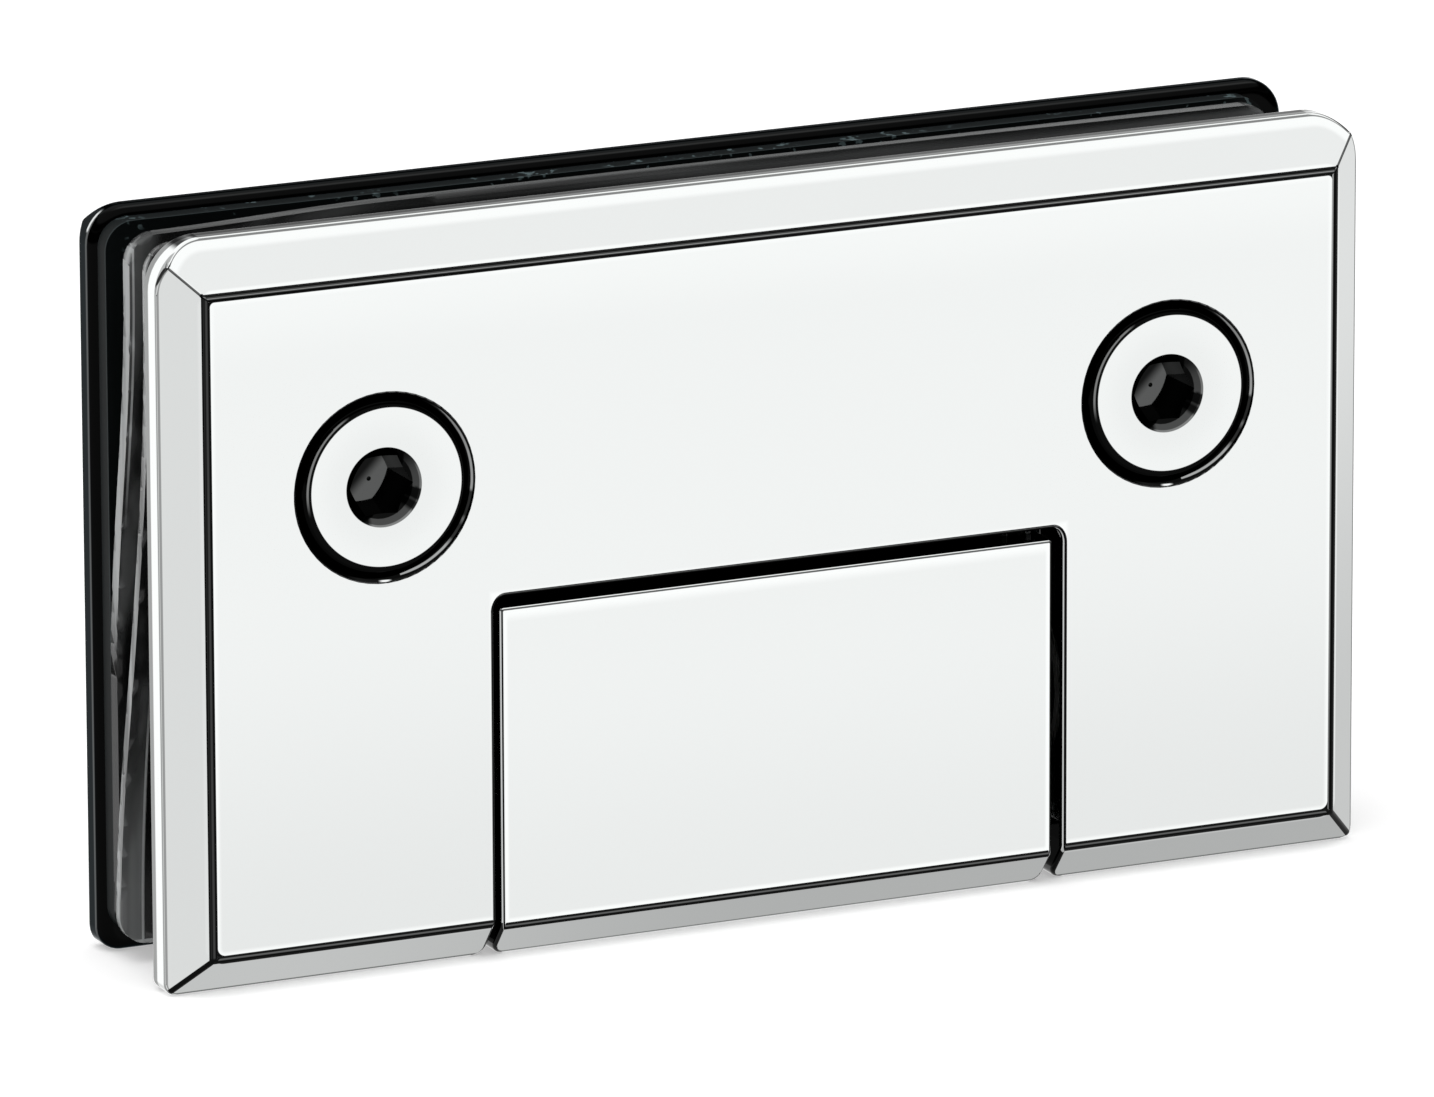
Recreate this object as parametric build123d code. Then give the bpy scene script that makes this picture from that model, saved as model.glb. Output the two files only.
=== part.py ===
"""Bevelled clamp hinge for a frameless glass door.

A glass clamp of two bevelled plates carries the door.  It swings on a square-ended
pin through the pivot block, which is the half that screws to the wall.
Millimetres.  X runs along the pin, the front face looks towards -Y and +Z points
from the wall into the door.  The origin is the middle of the foot.
"""
from build123d import *
import os
from math import sqrt

# --- plates -----------------------------------------------------------------
plate_width = 90.0
plate_height = 52.2
plate_thickness = 4.4
glass_gap = 8.8                 # clear distance between the two plates
side_bevel = 2.7                # width of a bevel, seen square to the face
foot_bevel = 2.7
top_bevel = 3.5
bevel_rise = 0.815              # bevel depth for each millimetre of its width
front_top_corner = 3.5          # outline radii
front_foot_corner = 0.9
back_top_corner = 2.7
back_foot_corner = 1.7
face_round = 0.85               # rolled edge between face and bevel
mitre_round = 0.3
front_inner_round = 0.4         # rolled edges round the plates' inner faces
back_inner_round = 1.0

# --- pivot ------------------------------------------------------------------
pivot_height = 13.2
pin_diameter = 9.0
pin_square = 5.6                # across the flats of a pin end
pin_end_length = 11.0
pin_shoulder_play = 0.1
detent_depth = 0.4              # flat milled into the pin
detent_length = 17.0
swing_clearance = 0.35          # round the block as the clamp turns about it

# --- pivot block ------------------------------------------------------------
block_width = 41.64
block_height = 24.92
block_shift = -0.2              # the block has run up against its left bush
block_foot_bevel = 2.4
block_top_corner = 0.3
block_foot_corner = 0.9
block_side_gap = 0.58           # between block and plate, with the block centred
notch_corner = 0.8
notch_foot_corner = 0.9
edge_round = 0.3

# --- bushes -----------------------------------------------------------------
bush_wall = 1.0
bush_length = 8.0
bush_flange = 0.3
bush_flange_diameter = 13.0
running_fit = 0.05              # radial
press_fit = 0.01                # radial
waist_clearance = 0.3           # radial, pin to block between the bushes

# --- detent -----------------------------------------------------------------
follower_length = 16.0
follower_width = 6.0
follower_thickness = 2.6
follower_play = 0.1
spring_diameter = 4.8
spring_wire = 0.7
spring_turns = 2.5
spring_inset = 3.8              # from the end of the follower to the middle of a spring
cover_length = 26.0
cover_width = 9.0
cover_thickness = 1.8
cover_recess = 0.2
cover_play = 0.1
cover_screw_inset = 2.5         # from the end of the cover
cover_screw_length = 6.0
seat_gap = 0.02                 # between pieces that bear on each other

# --- fixing to the wall -----------------------------------------------------
wall_screw_inset = 4.32         # from the side of the block
wall_tap_diameter = 4.2
wall_tap_depth = 6.6

# --- clamp screws and their sleeves ----------------------------------------
clamp_screw_side_gap = 8.0      # from the side of the notch
clamp_screw_rise = 6.04         # above the room in which the block's corners swing
clamp_screw_diameter = 6.0
clamp_screw_reach = 2.6         # into the back plate
clamp_head_diameter = 12.0
clamp_head_round = 0.3
clamp_head_recess = 0.1
clamp_sink_diameter = 13.2
clamp_sink_round = 0.15
clamp_socket = 4.0
clamp_socket_mouth = 5.5
clamp_socket_depth = 2.6
clamp_hole_clearance = 0.3      # radial
boss_diameter = 9.0
boss_short = 1.4                # a boss ends this far from the other plate
sleeve_wall = 1.45
sleeve_short = 1.0
thread_fit = 0.03               # radial, a thread is drawn as a plain close fit
blind_end = 0.4                 # past the tip of a screw

# --- gaskets ----------------------------------------------------------------
back_gasket_thickness = 1.4
rear_gasket_thickness = 1.1
front_gasket_thickness = 0.8
back_gasket_inset = 1.35        # at each side, with the gasket in the middle
clear_gasket_inset = 1.7
back_gasket_shift = -0.9        # the gaskets lie to the left on their oversize holes
clear_gasket_shift = -1.3
gasket_top_inset = 0.7
gasket_foot_inset = 1.5
gasket_corner = 2.0
gasket_clearance = 0.8          # round the pin carriers and the swinging block
gasket_hole_clearance = 0.25    # radial, what a hole leaves beyond the shift
rear_gasket_curl = 1.23         # how far the top of the rear clear gasket leans forward
rear_gasket_bend = (20.0, 46.0)  # heights where its bend begins and ends
front_gasket_bend = (3.0, 45.0)
loose_play = 0.1                # left in front of the top of the front clear gasket

# --- pin carriers -----------------------------------------------------------
carrier_length = 13.0
carrier_height = 20.0
carrier_front_clearance = 0.4
carrier_setback = 0.2           # behind the side of the notch
carrier_screw_diameter = 3.0
carrier_screw_head = 6.0
carrier_screw_socket = 2.0
carrier_screw_inset = 4.4       # from the carrier's outer end
carrier_screw_spread = 12.4
carrier_screw_reach = 3.0       # into the back plate
carrier_hole_clearance = 0.15
lock_screw_diameter = 4.0
lock_screw_length = 5.0
lock_screw_socket = 2.0
lock_screw_inset = 3.0          # from the carrier's inner end
small_screw_diameter = 2.5
small_screw_head = 4.7
small_screw_socket = 1.5
small_head_land = 0.15          # height of the rim of a small countersunk head

# --- worked out from the above ----------------------------------------------
depth = 2 * plate_thickness + glass_gap
face_y = depth / 2
inner_y = glass_gap / 2
pin_radius = pin_diameter / 2
notch_width = block_width + 2 * block_side_gap
block_reach = sqrt(face_y**2 + (block_height - pivot_height)**2)
swing_radius = block_reach + swing_clearance
pin_shoulder = notch_width / 2 + carrier_setback - pin_shoulder_play
bush_bore_radius = pin_radius + running_fit + bush_wall + press_fit
follower_top = pivot_height - pin_radius - running_fit
follower_foot = follower_top - follower_thickness
cover_top = cover_recess + cover_thickness
sleeve_inner_radius = boss_diameter / 2 + running_fit
sleeve_radius = sleeve_inner_radius + sleeve_wall
sleeve_front_y = -inner_y + sleeve_short
rear_gasket_foot_y = inner_y - back_gasket_thickness - seat_gap
front_gasket_foot_y = rear_gasket_foot_y - rear_gasket_thickness - seat_gap
front_gasket_top_y = front_gasket_thickness + loose_play - inner_y
clamp_screw_spacing = notch_width + 2 * clamp_screw_side_gap
clamp_screw_height = pivot_height + swing_radius + clamp_screw_rise
wall_screw_spacing = block_width - 2 * wall_screw_inset
cover_screw_spacing = cover_length - 2 * cover_screw_inset
spring_spacing = follower_length - 2 * spring_inset
pivot_axis = Pos(0, 0, pivot_height)
block_centre = Pos(block_shift, 0, 0)
left_and_right = {"left": -1, "right": 1}


def box_between(low, high):
    """A block from its lowest to its highest corner."""
    size = [b - a for a, b in zip(low, high)]
    centre = [(a + b) / 2 for a, b in zip(low, high)]
    return Pos(*centre) * Box(*size)


def face_outline(width, height, top_radius, foot_radius):
    """Rectangle standing on Z = 0 with one radius above and another below."""
    outline = Pos(0, height / 2) * Rectangle(width, height)
    by_height = outline.vertices().group_by(Axis.Y)
    outline = fillet(by_height[-1], top_radius)
    by_height = outline.vertices().group_by(Axis.Y)
    return fillet(by_height[0], foot_radius)


def along_y(sketch, start, end):
    """Carry a face drawn in X and Z from y = start to y = end."""
    return extrude(Plane.XZ * sketch, amount=end - start, dir=(0, 1, 0)).moved(Pos(0, start, 0))


def rod_y(radius, start, end):
    """Round bar along Y."""
    return along_y(Circle(radius), start, end)


def rod_x(radius, start, end):
    """Round bar along X."""
    return extrude(Plane.YZ * Circle(radius), amount=end - start).moved(Pos(start, 0, 0))


def rod_z(radius, start, end):
    """Round bar along Z."""
    return Pos(0, 0, start) * extrude(Circle(radius), amount=end - start)


def countersunk_screw(diameter, head, sink_gap, length, socket, socket_depth, head_round=0.0,
                      socket_mouth=None):
    """Countersunk screw on the Z axis, its head's face at Z = 0 and its tip at -length.

    sink_gap is how far the rim of the head stands above the start of its 90 degree cone.
    """
    head_radius = head / 2
    shank_radius = diameter / 2
    cone_end = -sink_gap - (head_radius - shank_radius)
    tip_chamfer = shank_radius / 6
    profile = Polyline(
        (0, 0),
        (head_radius, 0),
        (head_radius, -sink_gap),
        (shank_radius, cone_end),
        (shank_radius, -length + tip_chamfer),
        (shank_radius - tip_chamfer, -length),
        (0, -length),
        close=True,
    )
    screw = revolve(Plane.XZ * make_face(profile), Axis.Z)
    if head_round:
        rim = screw.edges().filter_by(GeomType.CIRCLE).group_by(Axis.Z)[-1]
        screw = fillet(rim, head_round)
    recess = extrude(RegularPolygon(socket / 2, 6, major_radius=False), amount=-socket_depth)
    if socket_mouth:
        recess += Pos(0, 0, -socket_mouth / 4) * Cone(0.01, socket_mouth / 2, socket_mouth / 2)
    return screw - recess


def bevelled_blank(width, height, thickness, side, top, foot, top_radius, foot_radius):
    """Plate with its outer face at Y = 0, its back at Y = thickness and planar bevels.

    The face outline, the plan and the end view are each carried right through and
    what they share is kept, which mitres the bevels at the corners.
    """
    half = width / 2
    outline = along_y(face_outline(width, height, top_radius, foot_radius), 0, thickness)
    plan = Polyline(
        (-half, thickness),
        (-half, side * bevel_rise),
        (-half + side, 0),
        (half - side, 0),
        (half, side * bevel_rise),
        (half, thickness),
        close=True,
    )
    end_view = Polyline(
        (0, foot),
        (0, height - top),
        (top * bevel_rise, height),
        (thickness, height),
        (thickness, 0),
        (foot * bevel_rise, 0),
        close=True,
    )
    through_plan = extrude(make_face(plan), amount=height)
    through_end = extrude(Plane.YZ * make_face(end_view), amount=half, both=True)
    return outline & through_plan & through_end


def notch_cutter():
    """What the block needs at any angle of the door: straight cheeks and a turned roof.

    The roof is turned about the pin, so the block's corners pass under it with the
    swing clearance while the gap seen from the front stays narrow.
    """
    half = notch_width / 2
    roof = Pos(0, swing_radius / 2) * Rectangle(notch_width, swing_radius)
    roof = fillet(roof.vertices().group_by(Axis.Y)[-1], notch_corner)
    turned = pivot_axis * revolve(Plane.XZ * roof, Axis.X)
    cheeks = box_between((-half, -depth, -1), (half, depth, pivot_height))
    return turned + cheeks


def plate_blank(top_radius, foot_radius, inner_round):
    """Bevelled plate with its notch, before its holes, in the front plate's place."""
    blank = bevelled_blank(plate_width, plate_height, plate_thickness, side_bevel,
                           top_bevel, foot_bevel, top_radius, foot_radius)
    face = blank.faces().filter_by(Axis.Y).sort_by(Axis.Y)[0]
    blank = fillet(face.edges(), face_round)
    mitres = [
        edge
        for edge in blank.edges().filter_by(GeomType.LINE)
        if min(abs(edge.tangent_at(0.5).X), abs(edge.tangent_at(0.5).Z)) > 0.1
    ]
    blank = fillet(mitres, mitre_round)
    back = blank.faces().filter_by(Axis.Y).sort_by(Axis.Y)[-1]
    blank = fillet(back.edges(), inner_round)
    blank = blank.moved(Pos(0, -face_y, 0)) - notch_cutter()
    foot_edges = [
        edge
        for edge in blank.edges().filter_by(GeomType.LINE).filter_by(Axis.Y)
        if abs(edge.center().Z) < 0.01 and abs(abs(edge.center().X) - notch_width / 2) < 0.01
    ]
    return fillet(foot_edges, notch_foot_corner)


def soften_notch(plate):
    """Take the sharp edge off the notch where it opens in the outer face."""
    face = plate.faces().filter_by(Axis.Y).sort_by(Axis.Y)[0]
    reach = notch_width / 2 + edge_round
    rim = [
        edge
        for edge in face.edges()
        if abs(edge.center().X) < reach and edge.center().Z > foot_bevel + face_round
    ]
    return fillet(rim, edge_round)


def clamp_screw_places():
    """Middle of each clamp screw, on mid-depth."""
    return [
        Pos(side * clamp_screw_spacing / 2, 0, clamp_screw_height)
        for side in left_and_right.values()
    ]


def carrier_screw_places(side):
    """Places of one pin carrier's two fixing screws, on mid-depth."""
    across = notch_width / 2 + carrier_setback + carrier_length - carrier_screw_inset
    return [
        Pos(side * across, 0, pivot_height + end * carrier_screw_spread / 2)
        for end in (-1, 1)
    ]


def front_plate():
    """Front plate with a countersunk hole for each clamp screw."""
    plate = plate_blank(front_top_corner, front_foot_corner, front_inner_round)
    plate = soften_notch(plate)
    sink_radius = clamp_sink_diameter / 2
    hole_radius = clamp_screw_diameter / 2 + clamp_hole_clearance
    sink = Polyline(
        (0, 0),
        (sink_radius, 0),
        (hole_radius, hole_radius - sink_radius),
        (hole_radius, -plate_thickness),
        (0, -plate_thickness),
        close=True,
    )
    cutter = Pos(0, -face_y, 0) * Rot(90, 0, 0) * revolve(Plane.XZ * make_face(sink), Axis.Z)
    for place in clamp_screw_places():
        plate -= place * cutter
    rims = [
        edge
        for edge in plate.edges().filter_by(GeomType.CIRCLE)
        if abs(edge.radius - sink_radius) < 0.001
    ]
    return fillet(rims, clamp_sink_round)


def back_plate():
    """Back plate, the front one turned round, with a tapped boss for each clamp screw."""
    plate = plate_blank(back_top_corner, back_foot_corner, back_inner_round)
    plate = Rot(0, 0, 180) * soften_notch(plate)
    boss_front = -inner_y + boss_short
    tap_end = inner_y + clamp_screw_reach + blind_end
    boss = rod_y(boss_diameter / 2, boss_front, inner_y)
    tap = rod_y(clamp_screw_diameter / 2 + thread_fit, boss_front, tap_end)
    for place in clamp_screw_places():
        plate += place * boss
        plate -= place * tap
    small_tap = rod_y(carrier_screw_diameter / 2 + thread_fit, inner_y,
                      inner_y + carrier_screw_reach + blind_end)
    for side in left_and_right.values():
        for place in carrier_screw_places(side):
            plate -= place * small_tap
    return plate


def clamp_screw(side):
    """M6 countersunk clamp screw with a hexagon socket."""
    length = face_y - clamp_head_recess + inner_y + clamp_screw_reach
    sink_gap = (clamp_sink_diameter - clamp_head_diameter) / 2 - clamp_head_recess - seat_gap
    screw = countersunk_screw(clamp_screw_diameter, clamp_head_diameter, sink_gap, length,
                              clamp_socket, clamp_socket_depth, clamp_head_round,
                              clamp_socket_mouth)
    face = Pos(side * clamp_screw_spacing / 2, clamp_head_recess - face_y, clamp_screw_height)
    return face * Rot(90, 0, 0) * screw


def screw_sleeve(side):
    """Nylon sleeve that keeps the glass off the boss."""
    place = Pos(side * clamp_screw_spacing / 2, 0, clamp_screw_height)
    sleeve = rod_y(sleeve_radius, sleeve_front_y, inner_y)
    return place * (sleeve - rod_y(sleeve_inner_radius, sleeve_front_y, inner_y))


def gasket_face(inset, shift):
    """Gasket seen from the front: an arch round the carriers and the swinging block.

    shift is how far it lies to one side; its openings are wide enough to allow that.
    """
    width = plate_width - 2 * inset
    height = plate_height - gasket_top_inset - gasket_foot_inset
    room = abs(shift)
    face = face_outline(width, height, gasket_corner, gasket_corner)
    face = Pos(0, gasket_foot_inset) * face
    carrier_side = notch_width / 2 + carrier_setback + carrier_length + gasket_clearance + room
    carrier_top = pivot_height + carrier_height / 2 + gasket_clearance
    swing_side = notch_width / 2 + gasket_clearance + room
    swing_top = pivot_height + swing_radius + gasket_clearance
    face -= Pos(0, carrier_top / 2) * Rectangle(2 * carrier_side, carrier_top)
    face -= Pos(0, swing_top / 2) * Rectangle(2 * swing_side, swing_top)
    for side in left_and_right.values():
        hole = Circle(sleeve_radius + gasket_hole_clearance + room)
        face -= Pos(side * clamp_screw_spacing / 2, clamp_screw_height) * hole
    return Pos(shift, 0) * face


def back_gasket():
    """Black rubber gasket, seated on the back plate."""
    face = gasket_face(back_gasket_inset, back_gasket_shift)
    return along_y(face, inner_y - back_gasket_thickness, inner_y)


def clear_gasket(thickness, foot_y, top_y, bend):
    """Clear gasket that stands at foot_y below its bend and leans to top_y above it.

    foot_y and top_y are where its back lies.  Between them the end view is an S that
    starts and ends upright.
    """
    low, high = bend
    third = (high - low) / 3
    ends = (-1, plate_height + 1)
    back = [
        Line((foot_y, ends[0]), (foot_y, low)),
        Bezier((foot_y, low), (foot_y, low + third), (top_y, high - third), (top_y, high)),
        Line((top_y, high), (top_y, ends[1])),
    ]
    front = [edge.moved(Pos(-thickness, 0, 0)) for edge in back]
    caps = [
        Line((foot_y, ends[0]), (foot_y - thickness, ends[0])),
        Line((top_y, ends[1]), (top_y - thickness, ends[1])),
    ]
    end_view = make_face(back + front + caps)
    strip = extrude(Plane.YZ * end_view, amount=plate_width, both=True)
    face = gasket_face(clear_gasket_inset, clear_gasket_shift)
    return strip & along_y(face, -face_y, face_y)


def rear_clear_gasket():
    """It stands against the back gasket and curls forward in its upper half."""
    return clear_gasket(rear_gasket_thickness, rear_gasket_foot_y,
                        rear_gasket_foot_y - rear_gasket_curl, rear_gasket_bend)


def front_clear_gasket():
    """It leans across the gap, from the rear clear gasket to the front plate."""
    return clear_gasket(front_gasket_thickness, front_gasket_foot_y,
                        front_gasket_top_y, front_gasket_bend)


def pivot_pin():
    """Round pin with square ends and three detent flats along its middle."""
    pin = rod_x(pin_radius, -pin_shoulder, pin_shoulder)
    total = pin_shoulder + pin_end_length
    pin += Box(2 * total, pin_square, pin_square)
    cut = Pos(0, 0, -pin_radius) * Box(detent_length, pin_diameter, 2 * detent_depth)
    for turn in (-90, 0, 90):
        pin -= Pos(block_shift, 0, 0) * Rot(turn, 0, 0) * cut
    return pivot_axis * pin


def pin_carrier(side):
    """Block inside one leg of the clamp: it holds the square end of the pin."""
    inner_x = notch_width / 2 + carrier_setback
    foot = pivot_height - carrier_height / 2
    carrier = box_between(
        (inner_x, -inner_y + carrier_front_clearance, foot),
        (inner_x + carrier_length, inner_y, foot + carrier_height),
    )
    carrier = chamfer(carrier.edges().filter_by(Axis.Y), edge_round)
    socket = pin_square + 2 * thread_fit
    socket_end = pin_shoulder + pin_end_length + blind_end
    carrier -= box_between(
        (inner_x, -socket / 2, pivot_height - socket / 2),
        (socket_end, socket / 2, pivot_height + socket / 2),
    )
    lock_radius = lock_screw_diameter / 2 + thread_fit
    carrier -= Pos(inner_x + lock_screw_inset, 0, 0) * rod_z(lock_radius, foot, pivot_height)
    front_y = -inner_y + carrier_front_clearance
    for place in carrier_screw_places(1):
        head_radius = carrier_screw_head / 2
        hole_radius = carrier_screw_diameter / 2 + carrier_hole_clearance
        carrier -= place * rod_y(hole_radius, front_y, inner_y)
        carrier -= place * Pos(0, front_y, 0) * Rot(90, 0, 0) * Pos(0, 0, -head_radius / 2) * Cone(
            0.001, head_radius, head_radius)
    if side < 0:
        carrier = carrier.mirror(Plane.YZ)
    return carrier


def carrier_screws(side):
    """The two M3 screws that fix one pin carrier to the back plate."""
    front_y = -inner_y + carrier_front_clearance + seat_gap
    length = inner_y + carrier_screw_reach - front_y
    head = carrier_screw_head - 2 * (small_head_land + 2 * seat_gap)
    screw = countersunk_screw(carrier_screw_diameter, head, small_head_land, length,
                              carrier_screw_socket, carrier_screw_diameter / 2)
    return Compound([
        place * Pos(0, front_y, 0) * Rot(90, 0, 0) * screw
        for place in carrier_screw_places(side)
    ])


def lock_screw(side):
    """Grub screw that takes up the play of the pin's square end."""
    tip = pivot_height - pin_square / 2 - seat_gap
    across = notch_width / 2 + carrier_setback + lock_screw_inset
    screw = rod_z(lock_screw_diameter / 2, tip - lock_screw_length, tip)
    socket = extrude(RegularPolygon(lock_screw_socket / 2, 6, major_radius=False),
                     amount=lock_screw_length / 2)
    screw -= Pos(0, 0, tip - lock_screw_length) * socket
    return Pos(side * across, 0, 0) * screw


def pivot_block():
    """Block that stays with the wall: bored for the pin, slotted for the detent."""
    half = block_width / 2
    outline = along_y(face_outline(block_width, block_height, block_top_corner,
                                   block_foot_corner), -face_y, face_y)
    rise = block_foot_bevel * bevel_rise
    end_view = Polyline(
        (-face_y, block_foot_bevel),
        (-face_y, block_height),
        (face_y, block_height),
        (face_y, block_foot_bevel),
        (face_y - rise, 0),
        (-face_y + rise, 0),
        close=True,
    )
    block = outline & extrude(Plane.YZ * make_face(end_view), amount=half, both=True)
    foot_edges = [
        edge
        for edge in block.edges().filter_by(Axis.X)
        if abs(edge.center().Z - block_foot_bevel) < 0.01
    ]
    block = fillet(foot_edges, face_round)
    for outer in (Axis.Y, -Axis.Y):
        face = block.faces().filter_by(Axis.Y).sort_by(outer)[-1]
        rim = [edge for edge in face.edges() if edge.center().Z > block_foot_bevel + face_round]
        block = fillet(rim, edge_round)
    bore = rod_x(pin_radius + waist_clearance, -half, half)
    bore += rod_x(bush_bore_radius, -half, -half + bush_length)
    bore += rod_x(bush_bore_radius, half - bush_length, half)
    block -= pivot_axis * bore
    slot = (follower_length / 2, follower_width / 2)
    block -= box_between((-slot[0], -slot[1], 0), (slot[0], slot[1], pivot_height))
    pocket = (cover_length / 2, cover_width / 2)
    block -= box_between((-pocket[0], -pocket[1], 0), (pocket[0], pocket[1], cover_top))
    wall_tap = rod_z(wall_tap_diameter / 2, 0, wall_tap_depth)
    cover_tap = rod_z(small_screw_diameter / 2 + thread_fit, 0,
                      cover_recess + cover_screw_length + blind_end)
    for side in left_and_right.values():
        block -= Pos(side * wall_screw_spacing / 2, 0, 0) * wall_tap
        block -= Pos(side * cover_screw_spacing / 2, 0, 0) * cover_tap
    return block_centre * block


def flanged_bush(side):
    """Nylon bush pressed into the block, its flange taking the thrust."""
    bore = pin_radius + running_fit
    barrel = bore + bush_wall
    start = block_width / 2 - bush_length
    end = block_width / 2
    bush = rod_x(barrel, start, end)
    bush += rod_x(bush_flange_diameter / 2, end, end + bush_flange)
    bush -= rod_x(bore, start, end + bush_flange)
    if side < 0:
        bush = bush.mirror(Plane.YZ)
    return block_centre * pivot_axis * bush


def follower():
    """Bar that the springs press against the flat of the pin."""
    bar = box_between(
        (-follower_length / 2 + follower_play, -follower_width / 2 + follower_play, 0),
        (follower_length / 2 - follower_play, follower_width / 2 - follower_play,
         follower_thickness),
    )
    bar = chamfer(bar.edges().filter_by(Axis.Z), edge_round)
    return block_centre * Pos(0, 0, follower_foot) * bar


def follower_spring(side):
    """Compression spring of square wire between the cover and the follower."""
    coil_radius = (spring_diameter - spring_wire) / 2
    rise = follower_foot - cover_top - 2 * seat_gap - spring_wire
    path = Helix(pitch=rise / spring_turns, height=rise, radius=coil_radius)
    section = Plane(path @ 0, z_dir=path % 0) * Rectangle(spring_wire, spring_wire)
    spring = sweep(section, path, is_frenet=True)
    foot = cover_top + seat_gap + spring_wire / 2
    return block_centre * Pos(side * spring_spacing / 2, 0, foot) * spring


def spring_cover():
    """Plate let into the foot of the block under the springs."""
    size = (cover_length - 2 * cover_play, cover_width - 2 * cover_play, cover_thickness)
    cover = Pos(0, 0, cover_recess + cover_thickness / 2) * Box(*size)
    cover = chamfer(cover.edges().filter_by(Axis.Z), edge_round)
    head_radius = small_screw_head / 2
    hole_radius = small_screw_diameter / 2 + carrier_hole_clearance
    for side in left_and_right.values():
        place = Pos(side * cover_screw_spacing / 2, 0, cover_recess)
        cover -= place * rod_z(hole_radius, 0, cover_thickness)
        cover -= place * Pos(0, 0, head_radius / 2) * Cone(head_radius, 0.001, head_radius)
    return block_centre * cover


def cover_screws():
    """The two small countersunk screws of the spring cover."""
    head = small_screw_head - 2 * (small_head_land + 2 * seat_gap)
    screw = countersunk_screw(small_screw_diameter, head, small_head_land, cover_screw_length,
                              small_screw_socket, small_screw_diameter / 2)
    return Compound([
        block_centre * Pos(side * cover_screw_spacing / 2, 0, cover_recess + seat_gap)
        * Rot(180, 0, 0) * screw
        for side in left_and_right.values()
    ])


nodes = {
    "front_plate": front_plate(),
    "back_plate": back_plate(),
    "back_gasket": back_gasket(),
    "rear_clear_gasket": rear_clear_gasket(),
    "front_clear_gasket": front_clear_gasket(),
    "pivot_pin": pivot_pin(),
    "pivot_block": pivot_block(),
    "follower": follower(),
    "spring_cover": spring_cover(),
    "cover_screws": cover_screws(),
}
for name, side in left_and_right.items():
    nodes[f"clamp_screw_{name}"] = clamp_screw(side)
    nodes[f"screw_sleeve_{name}"] = screw_sleeve(side)
    nodes[f"pin_carrier_{name}"] = pin_carrier(side)
    nodes[f"carrier_screws_{name}"] = carrier_screws(side)
    nodes[f"lock_screw_{name}"] = lock_screw(side)
    nodes[f"flanged_bush_{name}"] = flanged_bush(side)
    nodes[f"follower_spring_{name}"] = follower_spring(side)

os.makedirs("parts", exist_ok=True)
for name, shape in nodes.items():
    export_step(shape, f"parts/{name}.step")
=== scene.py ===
"""Looks of the bevelled clamp hinge: polished plates, gaskets in the glass gap, studio."""
import math

import bmesh
import bpy
import numpy as np
from mathutils import Matrix, Vector


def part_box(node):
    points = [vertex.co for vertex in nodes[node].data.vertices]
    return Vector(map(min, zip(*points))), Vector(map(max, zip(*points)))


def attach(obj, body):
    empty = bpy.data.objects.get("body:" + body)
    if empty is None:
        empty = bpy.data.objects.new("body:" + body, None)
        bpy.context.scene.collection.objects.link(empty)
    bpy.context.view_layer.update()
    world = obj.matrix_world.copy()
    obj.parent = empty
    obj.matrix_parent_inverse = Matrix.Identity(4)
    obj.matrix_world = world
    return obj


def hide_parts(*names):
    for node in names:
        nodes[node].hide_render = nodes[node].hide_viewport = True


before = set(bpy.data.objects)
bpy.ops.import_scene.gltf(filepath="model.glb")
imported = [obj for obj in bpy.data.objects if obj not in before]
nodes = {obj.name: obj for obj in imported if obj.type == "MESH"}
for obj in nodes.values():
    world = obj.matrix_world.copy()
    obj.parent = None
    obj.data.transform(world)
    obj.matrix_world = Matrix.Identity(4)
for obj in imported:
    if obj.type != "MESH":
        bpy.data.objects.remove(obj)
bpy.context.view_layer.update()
MM = 0.001

# --- sizes shared with the solids, in metres --------------------------------
FACE_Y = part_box("back_plate")[1].y          # outer faces, in front and behind
INNER_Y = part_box("back_gasket")[1].y        # inner faces of the plates
SIDE_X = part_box("front_plate")[1].x
TOP_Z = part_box("front_plate")[1].z
SIDE_BEVEL, FOOT_BEVEL, TOP_BEVEL = 3.0 * MM, 3.0 * MM, 3.8 * MM
FLAT_X = SIDE_X - SIDE_BEVEL                # where the flat of a plate ends
FLAT_LOW, FLAT_HIGH = FOOT_BEVEL, TOP_Z - TOP_BEVEL
WALL_DEPTH = FACE_Y - 2.2 * MM              # where the side bevels end and the walls begin
BEVELS_END = FACE_Y - 3.1 * MM              # no bevel reaches further in
TOP_RADIUS, FOOT_RADIUS = 3.5 * MM, 0.9 * MM
FLAT_TOP_RADIUS, FLAT_FOOT_RADIUS = 0.35 * MM, 0.6 * MM
BLOCK_LOW, BLOCK_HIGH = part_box("pivot_block")
BLOCK_X = (BLOCK_LOW.x + BLOCK_HIGH.x) / 2
BLOCK_HALF = (BLOCK_HIGH.x - BLOCK_LOW.x) / 2
NOTCH_X = BLOCK_HIGH.x + 0.78 * MM
NOTCH_ROOF = BLOCK_HIGH.z + 0.8 * MM
SCREW_LOW, SCREW_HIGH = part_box("clamp_screw_right")
SCREW_X = (SCREW_LOW.x + SCREW_HIGH.x) / 2
SCREW_Z = (SCREW_LOW.z + SCREW_HIGH.z) / 2
SCREW_FACE_Y = SCREW_LOW.y
SHEET_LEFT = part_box("front_clear_gasket")[0].x
SHEET_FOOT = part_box("front_clear_gasket")[0].z


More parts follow.
